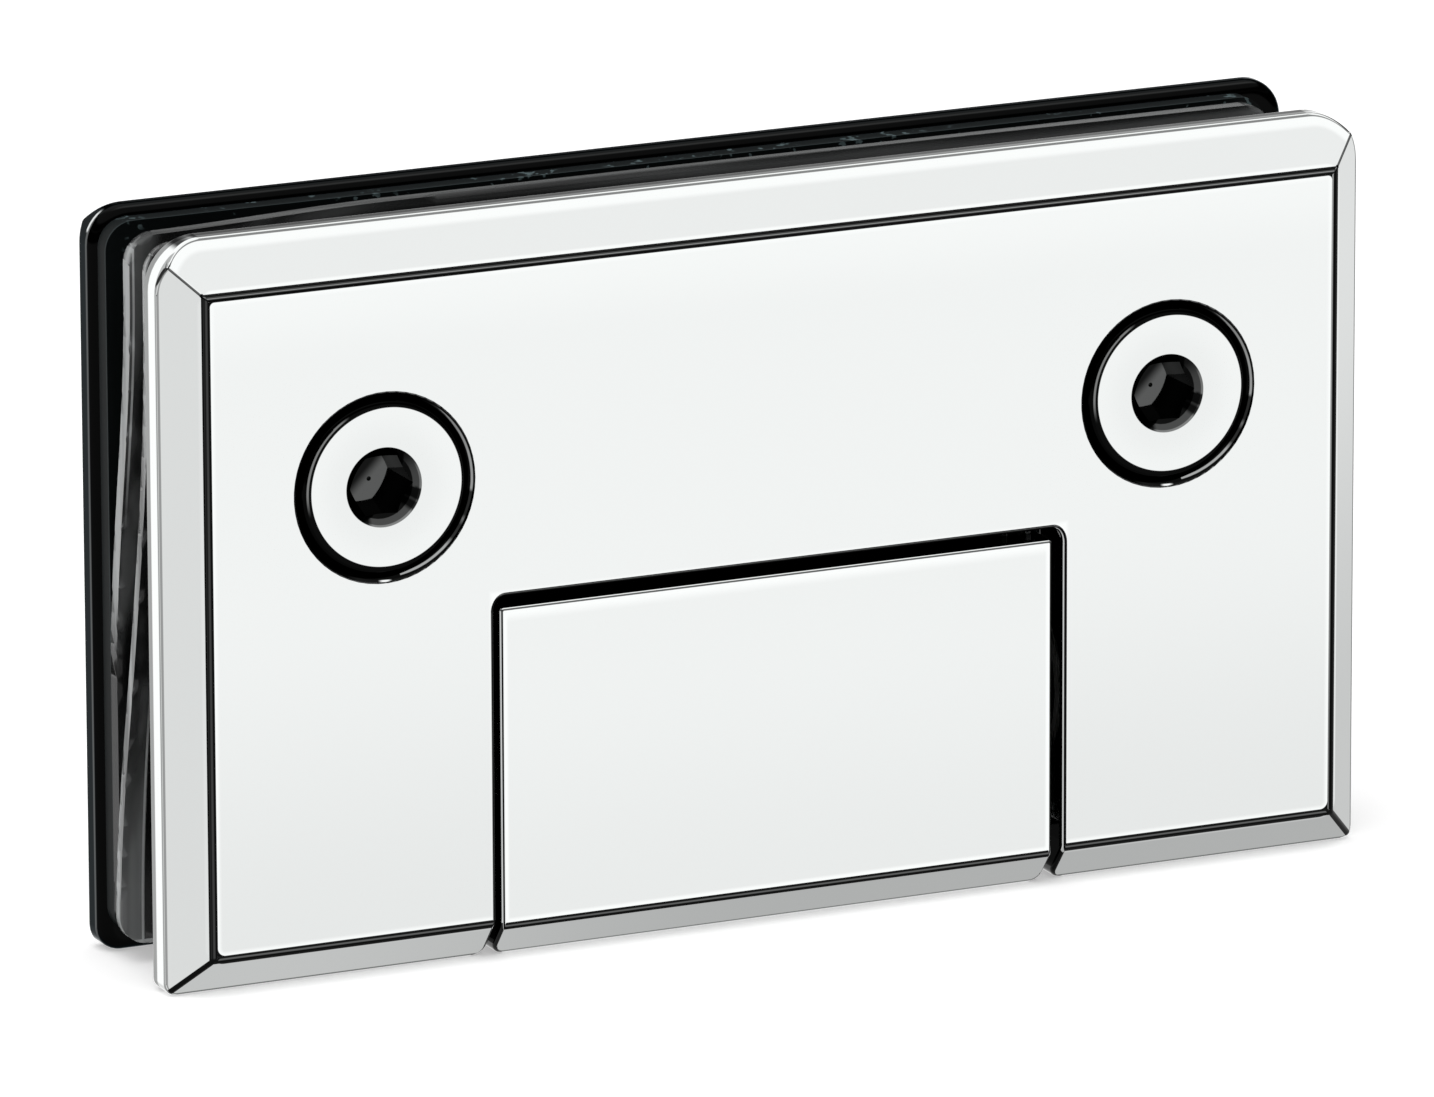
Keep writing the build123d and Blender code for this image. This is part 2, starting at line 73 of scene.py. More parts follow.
# --- node-tree helpers ------------------------------------------------------
class Tree:
    """Short-hand for building a node tree."""

    def __init__(self, tree):
        self.tree = tree
        tree.nodes.clear()

    def node(self, kind, **values):
        made = self.tree.nodes.new(kind)
        for key, value in values.items():
            setattr(made, key, value)
        return made

    def link(self, source, target):
        self.tree.links.new(source, target)

    def feed(self, socket, value):
        """Link a socket, or write a plain value."""
        if isinstance(value, bpy.types.NodeSocket):
            self.link(value, socket)
        else:
            socket.default_value = value

    def math(self, operation, *values):
        made = self.node("ShaderNodeMath", operation=operation)
        for socket, value in zip(made.inputs, values):
            self.feed(socket, value)
        return made.outputs[0]

    def map(self, value, low, high, to_low=0.0, to_high=1.0, smooth=True):
        """Value from low..high to to_low..to_high, held at both ends."""
        made = self.node("ShaderNodeMapRange",
                         interpolation_type="SMOOTHSTEP" if smooth else "LINEAR")
        for name, number in (("Value", value), ("From Min", low), ("From Max", high),
                             ("To Min", to_low), ("To Max", to_high)):
            self.feed(made.inputs[name], number)
        return made.outputs["Result"]

    def length(self, first, second):
        """Square root of the sum of two squares."""
        squares = [self.math("MULTIPLY", side, side) for side in (first, second)]
        return self.math("SQRT", self.math("ADD", *squares))

    def all(self, *masks):
        """Product of masks."""
        product = masks[0]
        for mask in masks[1:]:
            product = self.math("MULTIPLY", product, mask)
        return product

    def outside(self, mask):
        """1 where a mask is 0."""
        return self.math("SUBTRACT", 1.0, mask)

    def over(self, value, limit):
        """1 where value is above limit, over a soft 0.04 mm."""
        return self.map(value, limit - 0.02 * MM, limit + 0.02 * MM)

    def under(self, value, limit):
        """1 where value is below limit, over a soft 0.04 mm."""
        return self.map(value, limit + 0.02 * MM, limit - 0.02 * MM)

    def between(self, value, low, high):
        """1 where value lies from low to high, with soft ends."""
        return self.all(self.over(value, low), self.under(value, high))

    def blend(self, factor, first, second):
        """Plain number between first and second."""
        made = self.node("ShaderNodeMix", data_type="FLOAT")
        self.feed(made.inputs[0], factor)
        self.feed(made.inputs[2], first)
        self.feed(made.inputs[3], second)
        return made.outputs[0]

    def mix(self, factor, first, second):
        """Colour between first and second."""
        made = self.node("ShaderNodeMix", data_type="RGBA")
        self.feed(made.inputs[0], factor)
        self.feed(made.inputs[6], first)
        self.feed(made.inputs[7], second)
        return made.outputs[2]

    def steps(self, value, stops):
        """Piecewise grey over value from 0 to 1."""
        made = self.node("ShaderNodeValToRGB")
        self.link(value, made.inputs[0])
        elements = made.color_ramp.elements
        while len(elements) > 1:
            elements.remove(elements[-1])
        elements[0].position, elements[0].color = stops[0][0], (stops[0][1],) * 3 + (1,)
        for place, level in stops[1:]:
            elements.new(place).color = (level,) * 3 + (1,)
        return made.outputs[0]

    def object_coordinates(self):
        return self.node("ShaderNodeTexCoord").outputs["Object"]

    def object_normal(self):
        """The surface's normal in the object's own axes."""
        return self.node("ShaderNodeTexCoord").outputs["Normal"]

    def split(self, vector):
        """x, y and z of a vector."""
        parts = self.node("ShaderNodeSeparateXYZ")
        self.link(vector, parts.inputs[0])
        return parts.outputs

    def noise(self, where, scale, detail):
        made = self.node("ShaderNodeTexNoise")
        self.link(where, made.inputs["Vector"])
        made.inputs["Scale"].default_value = scale
        made.inputs["Detail"].default_value = detail
        return made.outputs["Fac"]


def principled(name, color, metallic, roughness, **sockets):
    """A material with one Principled shader; returns the material, its tree and the shader."""
    material = bpy.data.materials.new(name)
    material.use_nodes = True
    tree = Tree(material.node_tree)
    shader = tree.node("ShaderNodeBsdfPrincipled")
    output = tree.node("ShaderNodeOutputMaterial")
    tree.link(shader.outputs[0], output.inputs["Surface"])
    shader.inputs["Base Color"].default_value = (*color, 1)
    shader.inputs["Metallic"].default_value = metallic
    shader.inputs["Roughness"].default_value = roughness
    for key, value in sockets.items():
        shader.inputs[key.replace("_", " ")].default_value = value
    return material, tree, shader


def paint(tree, shader, tone, tint):
    """Give a shader a base colour that is the tone, from 0 to 1, times the tint."""
    black = (0.0, 0.0, 0.0, 1)
    tree.link(tree.mix(tone, black, tint), shader.inputs["Base Color"])


def wear(obj, material):
    """Give a piece one material."""
    obj.data.materials.clear()
    obj.data.materials.append(material)


# --- polished metal ---------------------------------------------------------
# Tones are greys from 0 to 1, painted into the plating's base colour, that stand in for what it
# mirrors: painted reflections, painted highlights and painted shade.
CHROME_TINT = (0.978, 1.0, 0.992, 1)
# WHITE is the level of the painted highlights; EDGE_TONE that of rolled edges outside the painted
# lines.
WHITE, EDGE_TONE = 1.0, 0.93
# Near-black levels of painted shade and painted dark reflections: in the notch's gaps and the
# foot outline, in the sink rings and shaded walls, on outlines and on mitres.
GAP_TONE, SHADE_TONE, LINE_TONE, MITRE_TONE = 0.003, 0.004, 0.006, 0.008
BACK_SPECULAR = (0.5, 0.52, 0.53, 1)        # dims the back plate's walls where seen at a slant

# Painted reflection tones of the flats, the block and the bevels: places between which a tone
# changes, in metres, and the two levels.
FLAT_RISE = (2 * MM, 28 * MM, 0.81, 0.90)           # upwards
FLAT_TOP_RISE = (43 * MM, FLAT_HIGH, 0.0, 0.04)     # upwards, added
BLOCK_RISE = (2 * MM, 20 * MM, 0.835, 0.89)         # upwards
RIGHT_BEVEL_RISE = (8 * MM, 44 * MM, 0.64, 0.87)    # upwards
FOOT_BEVEL_FALL = (-40 * MM, 0 * MM, 0.99, 0.78)    # to the right
LEFT_BEVEL_TONE, TOP_BEVEL_TONE = 0.94, 0.86

# Painted highlights, as white bands, by where they begin and where they are full: distances
# outwards from the outline of the flat, of the notch, of the plate and of the block.
FLAT_GLOW, BEVEL_GLOW = (-0.42 * MM, -0.03 * MM), (0.80 * MM, 0.64 * MM)
NOTCH_GLOW, RIM_GLOW = (0.50 * MM, 0.10 * MM), (-0.95 * MM, -0.60 * MM)
BLOCK_TOP_GLOW, BLOCK_SIDE_GLOW = (-1.2 * MM, -0.4 * MM), (-0.65 * MM, -0.4 * MM)
BLOCK_FOOT_GLOW = (3.1 * MM, 2.8 * MM)              # heights

# Painted dark reflection lines: the outline of the flat, wider at the foot, the lines where
# bevels meet, and the grey line along the rim.
OUTLINE_BEGINS, FOOT_OUTLINE_ENDS = -0.03 * MM, 0.61 * MM
MITRE_HALF_WIDTH = 0.31 * MM
RIM_LINE = 0.2 * MM
RIM_LEVELS = {"left": 0.42, "right": 0.16, "top": 0.24, "foot": 0.30}
BLOCK_RIM_LEVEL = 0.24

# The painted shade ring in a sink lies a little to the right of its axis, with a painted
# highlight line in it; the screw's rim has a painted glint, and its socket a painted highlight at
# its lit edge.
RING_SHIFT, RING_INNER, RING_OUTER = 0.18 * MM, 5.50 * MM, 6.45 * MM
RING_LINE, RING_LINE_LEVEL = (6.22 * MM, 6.34 * MM), 0.4
RIM_GLINT, RIM_GLINT_LEVEL = (5.70 * MM, 5.86 * MM), 0.20
MOUTH_RADIUS, LIT_EDGE_RADIUS = 2.77 * MM, 2.64 * MM   # of the socket

# Tilt from the y axis, in degrees, over which one part of a plate gives way to the next.
FLAT_TO_ROLL = (1.0, 2.0)
ROLL_START = (2.0, 3.0)
ROLL_TO_BEVEL = (38.2, 38.9)
BEVEL_END = (50.0, 52.0)
WALL_START = (56.0, 60.0)
# Tilts of the notch's painted shade and painted pale highlight line, then of the block's painted
# reflection lines and painted shade.
NOTCH_DARK, NOTCH_PALE, NOTCH_PALE_END = (12.0, 16.0), (36.0, 40.0), (66.0, 62.0)
NOTCH_BEVEL_DARK = (42.0, 46.0)
BLOCK_ROLL, BLOCK_SIDE = (2.0, 4.0), (70.0, 78.0)
BLOCK_FOOT_LINE_END, BLOCK_FOOT_CORNER = (39.8, 39.0), (40.5, 42.5)

# Painted reflection across a rolled edge, dark with pale highlight lines: share of the turn from
# flat (0) to bevel (1), and level.
ARRIS_TURN = 39.2
ARRIS_STOPS = {
    "left": [(0.0, 0.5), (0.05, 0.004), (0.26, 0.006), (0.40, 0.07), (0.52, 0.06),
             (0.64, 0.006), (0.76, 0.03), (0.86, 0.004)],
    "right": [(0.0, 0.9), (0.14, 0.30), (0.26, 0.002), (0.86, 0.002), (0.97, 0.3)],
    "top": [(0.0, 0.9), (0.06, 0.01), (0.30, 0.01), (0.40, 1.0), (0.60, 1.0), (0.70, 0.01),
            (0.94, 0.02)],
    "foot": [(0.0, 0.5), (0.04, 0.01), (0.28, 0.01), (0.36, 0.20), (0.50, 0.16),
             (0.58, 0.003), (1.0, 0.003)]}

# Painted reflection tone of the walls, a white band on the front plate's and dark with one pale
# highlight line on the back plate's: share of the way from the inner face (0) to the bevel (1),
# and level.
FRONT_WALL = [(0.0, 0.32), (0.42, 0.30), (0.47, 1.0), (0.93, 1.0), (0.97, 0.45)]
BACK_WALL = [(0.0, 0.004), (0.36, 0.005), (0.40, 0.13), (0.48, 0.13), (0.52, 0.022),
             (1.0, 0.022)]
BACK_TOP = [(0.0, 0.003), (0.10, 0.004), (0.13, 0.10), (0.18, 0.07), (0.24, 0.014),
            (1.0, 0.016)]

# Painted reflection over the block's rolled edges, dark lines with a pale highlight between:
# share of a quarter turn from the face, and level.
BLOCK_SIDE_ROLL = [(0.0, 1.0), (0.12, 1.0), (0.16, 0.003), (0.38, 0.003), (0.42, 0.8),
                   (0.68, 0.8), (0.72, 0.003)]
BLOCK_TOP_ROLL = [(0.0, 1.0), (0.45, 1.0), (0.50, 0.003), (0.76, 0.003), (0.80, 0.14),
                  (0.95, 0.14), (1.0, 0.003)]


def rounded_distance(tree, x, z, half_width, low, high, radius):
    """Distance from a rounded rectangle in x and z, less than 0 inside it.

    With q the point measured from the middle of the corner's arc, it is the length of
    q where both parts are positive, else the larger part, less the radius.
    """
    across = tree.math("SUBTRACT", tree.math("ABSOLUTE", x), half_width - radius)
    middle, half_height = (low + high) / 2, (high - low) / 2
    up = tree.math("ABSOLUTE", tree.math("SUBTRACT", z, middle))
    up = tree.math("SUBTRACT", up, half_height - radius)
    outside = tree.length(tree.math("MAXIMUM", across, 0.0), tree.math("MAXIMUM", up, 0.0))
    inside = tree.math("MINIMUM", tree.math("MAXIMUM", across, up), 0.0)
    return tree.math("SUBTRACT", tree.math("ADD", outside, inside), radius)


class Surface:
    """Where a point of a plate or the block lies, and masks of what it belongs to."""

    def __init__(self, tree):
        self.tree = tree
        self.x, y, self.z = tree.split(tree.object_coordinates())
        self.nx, ny, self.nz = tree.split(tree.object_normal())
        self.depth = tree.math("ABSOLUTE", y)
        self.tilt = tree.math("DEGREES", tree.math("ARCCOSINE", tree.math("ABSOLUTE", ny)))
        self.sideways = tree.math("ABSOLUTE", self.nx)
        on_side = tree.math("GREATER_THAN", self.sideways, tree.math("ABSOLUTE", self.nz))
        on_end = tree.outside(on_side)
        self.right = tree.all(on_side, tree.math("GREATER_THAN", self.nx, 0.0))
        self.left = tree.math("SUBTRACT", on_side, self.right)
        self.top = tree.all(on_end, tree.math("GREATER_THAN", self.nz, 0.0))
        self.foot = tree.math("SUBTRACT", on_end, self.top)
        self.flat = tree.map(self.tilt, *reversed(FLAT_TO_ROLL))
        self.rolled = tree.all(tree.map(self.tilt, *ROLL_START),
                               tree.map(self.tilt, *reversed(ROLL_TO_BEVEL)),
                               tree.over(self.depth, FACE_Y - 0.25 * MM))
        self.bevel = tree.all(tree.map(self.tilt, *ROLL_TO_BEVEL),
                              tree.map(self.tilt, *reversed(BEVEL_END)),
                              tree.over(self.depth, BEVELS_END))
        self.wall = tree.math("MAXIMUM", tree.map(self.tilt, *WALL_START),
                              tree.under(self.depth, BEVELS_END))

    def by_side(self, left, right, top, foot):
        """The level that belongs to the side that the surface faces."""
        tone = self.tree.all(self.left, left)
        for side, level in ((self.right, right), (self.top, top), (self.foot, foot)):
            tone = self.tree.math("ADD", tone, self.tree.all(side, level))
        return tone


def screw_radius(tree, x, z, shift):
    """Distance from an axis set shift to the right of the nearer clamp screw's, and its parts."""
    off_x = tree.math("SUBTRACT", tree.math("ABSOLUTE", x), SCREW_X)
    off_x = tree.math("MULTIPLY", off_x, tree.math("SIGN", x))
    off_x = tree.math("SUBTRACT", off_x, shift)
    off_z = tree.math("SUBTRACT", z, SCREW_Z)
    return tree.length(off_x, off_z), off_x, off_z


def outline_distance(surface, half_width, low, high, foot_radius, top_radius):
    """Distance from an outline whose corners are rounded one way below, another above."""
    tree = surface.tree
    at_foot, at_top = (
        rounded_distance(tree, surface.x, surface.z, half_width, low, high, radius)
        for radius in (foot_radius, top_radius))
    return tree.blend(tree.over(surface.z, TOP_Z / 2), at_foot, at_top)


def arris_tone(surface):
    """Painted reflection across a rolled edge, from the flat to the bevel: dark, with one pale
    highlight line.
    """
    turn = surface.tree.math("DIVIDE", surface.tilt, ARRIS_TURN)
    return surface.by_side(**{side: surface.tree.steps(turn, stops)
                              for side, stops in ARRIS_STOPS.items()})


def bevel_tone(surface):
    """Painted reflection tone of each bevel: the right one darkens to the foot, the foot one to
    the right, the others are even.
    """
    right = surface.tree.map(surface.z, *RIGHT_BEVEL_RISE)
    foot = surface.tree.map(surface.x, *FOOT_BEVEL_FALL)
    return surface.by_side(left=LEFT_BEVEL_TONE, right=right, top=TOP_BEVEL_TONE, foot=foot)


def mitre_mask(surface):
    """1 on the narrow rolled edges where two bevels meet, with a wide line at the foot: where the
    painted dark reflection lines go.
    """
    tree = surface.tree
    corner = tree.math("ABSOLUTE", tree.math("MULTIPLY", surface.nx, surface.nz))
    on_bevel = tree.over(surface.depth, WALL_DEPTH + 0.02 * MM)
    thin = tree.all(tree.map(corner, 0.01, 0.04), surface.bevel, on_bevel)
    from_side = tree.math("SUBTRACT", SIDE_X, tree.math("ABSOLUTE", surface.x))
    off = tree.math("ABSOLUTE", tree.math("SUBTRACT", from_side, surface.z))
    wide = tree.all(tree.under(off, MITRE_HALF_WIDTH), on_bevel,
                    tree.map(surface.z, FOOT_BEVEL, FOOT_BEVEL - 0.2 * MM))
    return tree.math("MAXIMUM", thin, wide)


def flat_tone(surface, gap, notch):
    """Painted reflection tone of a plate's flat: paler to the top, with painted white highlights
    by the notch and inside its painted dark outline.
    """
    tree = surface.tree
    tone = tree.math("ADD", tree.map(surface.z, *FLAT_RISE),
                     tree.map(surface.z, *FLAT_TOP_RISE))
    glow = tree.math("MAXIMUM", tree.map(gap, *FLAT_GLOW), tree.map(notch, *NOTCH_GLOW))
    tone = tree.blend(glow, tone, WHITE)
    tone = tree.blend(tree.over(gap, OUTLINE_BEGINS), tone, LINE_TONE)
    return tree.blend(tree.outside(surface.flat), tone, EDGE_TONE)


def plate_bevel_tone(surface, gap, rim):
    """Painted reflection tone of a plate's bevels: painted white highlights beside the flat and
    under the top's rim line.

    The flat's painted dark outline reaches onto the foot bevel, and a painted grey reflection
    line runs along the rim.
    """
    tree = surface.tree
    tone = tree.blend(tree.map(gap, *BEVEL_GLOW), bevel_tone(surface), WHITE)
    outline = tree.all(surface.foot, tree.under(gap, FOOT_OUTLINE_ENDS))
    tone = tree.blend(outline, tone, GAP_TONE)
    below_rim = tree.all(surface.top, tree.map(rim, *RIM_GLOW))
    tone = tree.blend(below_rim, tone, WHITE)
    return tree.blend(tree.over(rim, -RIM_LINE), tone, surface.by_side(**RIM_LEVELS))


def wall_tone(surface, back):
    """Painted reflection tone of a plate's walls; the back plate's are painted dark, with one
    painted pale highlight line and a painted highlight at the top left corner.
    """
    tree = surface.tree
    inwards = tree.map(surface.depth, INNER_Y, WALL_DEPTH, smooth=False)
    if not back:
        return tree.steps(inwards, FRONT_WALL)
    glint = tree.all(tree.map(surface.nx, -0.30, -0.40), tree.map(surface.nz, 0.30, 0.40),
                     tree.between(surface.depth, FACE_Y - 3.4 * MM, FACE_Y - 3.15 * MM))
    tone = tree.blend(glint, tree.steps(inwards, BACK_WALL), 0.9)
    return tree.blend(tree.map(surface.nz, 0.75, 0.90), tone, tree.steps(inwards, BACK_TOP))


def with_notch_edges(surface, notch, tone):
    """A tone, with painted shade over the notch's rolled edges and a painted pale highlight line
    at its sides.
    """
    tree, tilt = surface.tree, surface.tilt
    near = tree.under(notch, 1.0 * MM)
    tone = tree.blend(tree.all(tree.map(tilt, *NOTCH_BEVEL_DARK), near), tone, GAP_TONE)
    side_edge = tree.all(near, tree.over(surface.depth, FACE_Y - 0.34 * MM),
                         tree.map(surface.sideways, 0.10, 0.20))
    tone = tree.blend(tree.all(side_edge, tree.map(tilt, *NOTCH_DARK)), tone, GAP_TONE)
    pale = tree.all(side_edge, tree.map(tilt, *NOTCH_PALE), tree.map(tilt, *NOTCH_PALE_END))
    return tree.blend(pale, tone, 0.75)


def with_sink_ring(surface, tone):
    """A tone, with a painted shade ring in each clamp screw's sink and a painted highlight line
    at its right.
    """
    tree = surface.tree
    radius, off_x = screw_radius(tree, surface.x, surface.z, RING_SHIFT)[:2]
    light = tree.all(tree.between(radius, *RING_LINE), tree.over(off_x, 1.0 * MM))
    ring = tree.blend(light, SHADE_TONE, RING_LINE_LEVEL)
    return tree.blend(tree.under(radius, RING_OUTER), tone, ring)


def plate_tone(surface, back):
    """All painted reflections, highlights and shade of a plate, as one grey from 0 to 1."""
    tree = surface.tree
    gap = outline_distance(surface, FLAT_X, FLAT_LOW, FLAT_HIGH, FLAT_FOOT_RADIUS,
                           FLAT_TOP_RADIUS)
    rim = outline_distance(surface, SIDE_X, 0.0, TOP_Z, FOOT_RADIUS, TOP_RADIUS)
    notch = tree.math("MAXIMUM", tree.math("SUBTRACT", tree.math("ABSOLUTE", surface.x), NOTCH_X),
                      tree.math("SUBTRACT", surface.z, NOTCH_ROOF))
    tone = flat_tone(surface, gap, notch)
    tone = tree.blend(surface.bevel, tone, plate_bevel_tone(surface, gap, rim))
    tone = tree.blend(surface.rolled, tone, arris_tone(surface))
    tone = tree.blend(mitre_mask(surface), tone, MITRE_TONE)
    tone = tree.blend(surface.wall, tone, wall_tone(surface, back))
    tone = with_notch_edges(surface, notch, tone)
    return tone if back else with_sink_ring(surface, tone)


def block_tone(surface):
    """All painted reflections, highlights and shade of the pivot block, as one grey from 0 to 1.
    """
    tree, tilt, z = surface.tree, surface.tilt, surface.z
    across = tree.math("SUBTRACT", surface.x, BLOCK_X)
    beside = tree.math("SUBTRACT", tree.math("ABSOLUTE", across), BLOCK_HALF)
    above = tree.math("SUBTRACT", z, BLOCK_HIGH.z)
    # Painted reflection, paler upwards, with painted highlight bands at the top, the sides and
    # the foot.
    tone = tree.map(z, *BLOCK_RISE)
    for glow in (tree.map(above, *BLOCK_TOP_GLOW), tree.map(beside, *BLOCK_SIDE_GLOW),
                 tree.all(surface.flat, tree.map(z, *BLOCK_FOOT_GLOW))):
        tone = tree.blend(glow, tone, WHITE)
    tone = tree.blend(tree.outside(surface.flat), tone, EDGE_TONE)
    tone = tree.blend(surface.bevel, tone, bevel_tone(surface))

    # Painted grey reflection line along the rim of the foot.
    rim = rounded_distance(tree, across, z, BLOCK_HALF, 0.0, BLOCK_HIGH.z + 5 * MM, FOOT_RADIUS)
    foot_line = tree.all(tree.under(z, 3.1 * MM), tree.over(rim, -RIM_LINE),
                         tree.map(tilt, *BLOCK_FOOT_LINE_END))
    tone = tree.blend(foot_line, tone, BLOCK_RIM_LEVEL)
    tone = tree.blend(surface.rolled, tone,
                      tree.blend(surface.foot, EDGE_TONE, arris_tone(surface)))

    # Painted reflection lines over the rolled front edges.
    turn = tree.math("DIVIDE", tilt, 90.0)
    edge = tree.all(tree.over(surface.depth, FACE_Y - 0.55 * MM), tree.outside(surface.foot),
                    tree.map(tilt, *BLOCK_ROLL))
    tone = tree.blend(edge, tone, tree.blend(surface.top, tree.steps(turn, BLOCK_SIDE_ROLL),
                                             tree.steps(turn, BLOCK_TOP_ROLL)))
    # Painted shade on the side walls in the notch's gaps.
    shade_depth = tree.blend(tree.over(z, 4.0 * MM), tree.over(surface.depth, FACE_Y - 5.0 * MM),
                             tree.over(surface.depth, FACE_Y - 2.1 * MM))
    shade = tree.all(tree.map(tilt, *BLOCK_SIDE), tree.under(surface.depth, FACE_Y - 0.55 * MM),
                     shade_depth)
    tone = tree.blend(shade, tone, SHADE_TONE)
    # Painted shade on the rolled foot corners beside the gaps.
    foot_corner = tree.all(tree.map(tilt, *BLOCK_FOOT_CORNER), tree.under(z, 2.7 * MM),
                           tree.math("GREATER_THAN", surface.sideways, 0.08),
                           tree.over(surface.depth, FACE_Y - 4.4 * MM))
    return tree.blend(foot_corner, tone, 0.02)


def polished_chrome(name, part):
    """Mirror plating, with painted reflections, highlights and shade in its base colour, laid out
    by the flats, bevels and edges.
    """
    material, tree, shader = principled(name, (0.9, 0.9, 0.9), 1.0, 0.035)
    surface, back = Surface(tree), part == "back"
    tone = block_tone(surface) if part == "block" else plate_tone(surface, back)
    if back:
        shader.inputs["Specular Tint"].default_value = BACK_SPECULAR
    paint(tree, shader, tone, CHROME_TINT)
    return material


def screw_metal():
    """Polished screw head, painted paler towards a painted dark rim with a painted glint; its
    socket has painted shade, with painted highlights on its facets and bottom.
    """
    material, tree, shader = principled("screw_chrome", (0.9, 0.9, 0.9), 1.0, 0.05)
    x, y, z = tree.split(tree.object_coordinates())
    facing = tree.math("ABSOLUTE", tree.split(tree.object_normal())[1])
    radius, off_x, off_z = screw_radius(tree, x, z, 0.0)
    ring, ring_x, ring_z = screw_radius(tree, x, z, RING_SHIFT)
    sunk = tree.math("SUBTRACT", y, SCREW_FACE_Y)
    aslant = tree.math("SUBTRACT", off_x, off_z)
    # Painted reflection, paler outwards, then the painted dark rim with a painted glint at its
    # left.
    tone = tree.map(radius, 3.0 * MM, 5.4 * MM, 0.87, 0.91)
    glint = tree.all(tree.map(ring_x, -2.6 * MM, -3.4 * MM),
                     tree.map(ring_z, -1.6 * MM, 0.2 * MM),
                     tree.between(ring, *RIM_GLINT))
    rim = tree.blend(glint, SHADE_TONE, RIM_GLINT_LEVEL)
    tone = tree.blend(tree.over(ring, RING_INNER), tone, rim)

    # Painted shade in the socket's mouth, with a painted highlight on its lit edge.
    mouth = tree.blend(tree.map(aslant, -0.6 * MM, 1.4 * MM), 0.008, 0.07)
    lit_edge = tree.all(tree.over(radius, LIT_EDGE_RADIUS), tree.map(aslant, 0.6 * MM, 1.6 * MM))
    mouth = tree.blend(lit_edge, mouth, 0.22)
    tone = tree.blend(tree.under(radius, MOUTH_RADIUS), tone, mouth)
    # Painted shade on the socket's walls, then painted highlights on its deep facets and on its
    # bottom.
    tone = tree.blend(tree.over(sunk, 0.46 * MM), tone, LINE_TONE)
    facet = tree.map(sunk, 1.4 * MM, 2.6 * MM, 0.035, 0.075)
    tone = tree.blend(tree.map(sunk, 1.25 * MM, 1.45 * MM), tone, facet)
    bottom = tree.all(tree.map(facing, 0.85, 0.95), tree.over(sunk, 1.0 * MM))
    tone = tree.blend(bottom, tone, tree.map(aslant, -1.1 * MM, 0.2 * MM, 0.008, 0.10))
    paint(tree, shader, tone, CHROME_TINT)
    return material


# --- other materials --------------------------------------------------------
RUBBER_TINT = (0.78, 1.07, 1.12, 1)
VINYL_TINT = (0.97, 1.0, 1.0, 1)
ALONG_LEGS, ALONG_TOP = (420.0, 700.0, 42.0), (14.0, 700.0, 420.0)   # streaks' noise scales

# Where the streaks turn from the left leg to the top: heights, and places along x.
TOP_STRIP_Z, TOP_STRIP_X = (43 * MM, 46 * MM), (-41.5 * MM, -39.5 * MM)
# Painted highlight lines on the clear sheets' faces, in metres inwards from the left edge, with
# painted shade beyond the front one, and heights over which they and the tones come in, some with
# the two levels.
FRONT_LINE, FRONT_DARK = (1.20 * MM, 1.36 * MM), 1.42 * MM
FRONT_LINE_Z, FRONT_FACE_Z = (22 * MM, 14 * MM), (20 * MM, 7 * MM, 0.0, 0.20)
FRONT_FOOT_EDGE = 0.3 * MM
REAR_LINE, REAR_LINE_Z = (0.20 * MM, 0.36 * MM), (30 * MM, 38 * MM)
REAR_FACE_Z, REAR_SIDE_Z = (19 * MM, 27 * MM, 0.25, 1.0), (20 * MM, 27 * MM, 0.02, 1.0)
# Height above which the rubber has specks, and width of its painted highlight line along the
# edge.
SPECKS_ABOVE, RUBBER_EDGE = 44 * MM, 0.16 * MM


def black_rubber():
    """Matt black rubber with a painted lighter side, a fine painted highlight line along an edge
    and a few specks at the top.
    """
    material, tree, shader = principled("black_rubber", (0.01, 0.01, 0.011), 0.0, 0.5,
                                        Specular_IOR_Level=0.10)
    where = tree.object_coordinates()
    _, y, z = tree.split(where)
    facing = tree.math("ABSOLUTE", tree.split(tree.object_normal())[1])
    # The side is painted lighter, as lit, and gets a fine painted highlight line by its front
    # edge.
    side = tree.map(facing, 0.6, 0.3)
    tone = tree.blend(side, 0.005, 0.009)
    edge = tree.under(y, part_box("back_gasket")[0].y + RUBBER_EDGE)
    tone = tree.blend(tree.all(side, edge), tone, 0.032)
    specks = tree.all(tree.map(tree.noise(where, 1700.0, 1.0), 0.62, 0.68),
                      tree.map(tree.noise(where, 220.0, 1.0), 0.46, 0.56))
    tone = tree.blend(tree.all(specks, tree.over(z, SPECKS_ABOVE)), tone, 0.12)
    paint(tree, shader, tone, RUBBER_TINT)
    return material


def streaks(tree, where, stretch):
    """Noise drawn out to streaks along the axis whose scale in stretch is the smallest."""
    mapping = tree.node("ShaderNodeMapping")
    tree.link(where, mapping.inputs["Vector"])
    mapping.inputs["Scale"].default_value = stretch
    return tree.noise(mapping.outputs[0], 1.0, 2.0)


